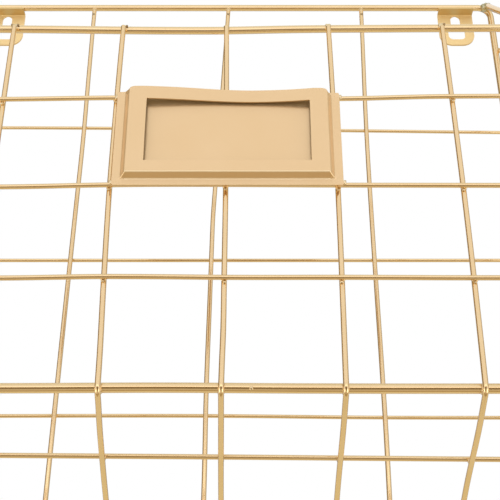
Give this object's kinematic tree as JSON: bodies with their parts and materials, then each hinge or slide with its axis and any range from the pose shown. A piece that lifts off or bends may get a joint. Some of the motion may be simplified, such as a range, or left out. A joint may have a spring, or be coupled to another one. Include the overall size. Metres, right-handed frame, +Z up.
{
  "type": "wall file organizer",
  "caption": "Wall-hung welded wire file pocket with a sloping floor, open top, angled sides, a pressed label holder and keyhole hanging tabs.",
  "frame": {"origin": "on the wall plane, midway between the round ends of the keyholes in the two hanging tabs", "axes": "+Y into the wall, so the front of the pocket faces -Y; +Z up the wall; +X to the right of a person who faces the pocket"},
  "size_m": [0.3434, 0.1077, 0.3522],
  "materials": {
    "wire_finish": "satin champagne gold over steel wire",
    "sheet_finish": "satin champagne gold over steel sheet"
  },
  "bodies": {
    "root": {"rear_frame": "wire_finish", "rear_upright_left": "wire_finish", "rear_upright_middle": "wire_finish", "rear_upright_right": "wire_finish", "rear_crosswire_lower": "wire_finish", "rear_crosswire_middle": "wire_finish", "rear_crosswire_upper": "wire_finish", "side_frame_left": "wire_finish", "side_frame_right": "wire_finish", "front_top_rail": "wire_finish", "front_bottom_rail": "wire_finish", "front_upright_1": "wire_finish", "front_upright_2": "wire_finish", "front_upright_3": "wire_finish", "front_upright_4": "wire_finish", "front_upright_5": "wire_finish", "floor_crosswire": "wire_finish", "band_lower": "wire_finish", "band_middle": "wire_finish", "band_upper": "wire_finish", "side_wire_middle_left": "wire_finish", "side_wire_middle_right": "wire_finish", "side_wire_upper_left": "wire_finish", "side_wire_upper_right": "wire_finish", "label_back_plate": "sheet_finish", "label_frame": "sheet_finish", "hanging_tab_left": "sheet_finish", "hanging_tab_right": "sheet_finish"}
  },
  "joints": []
}
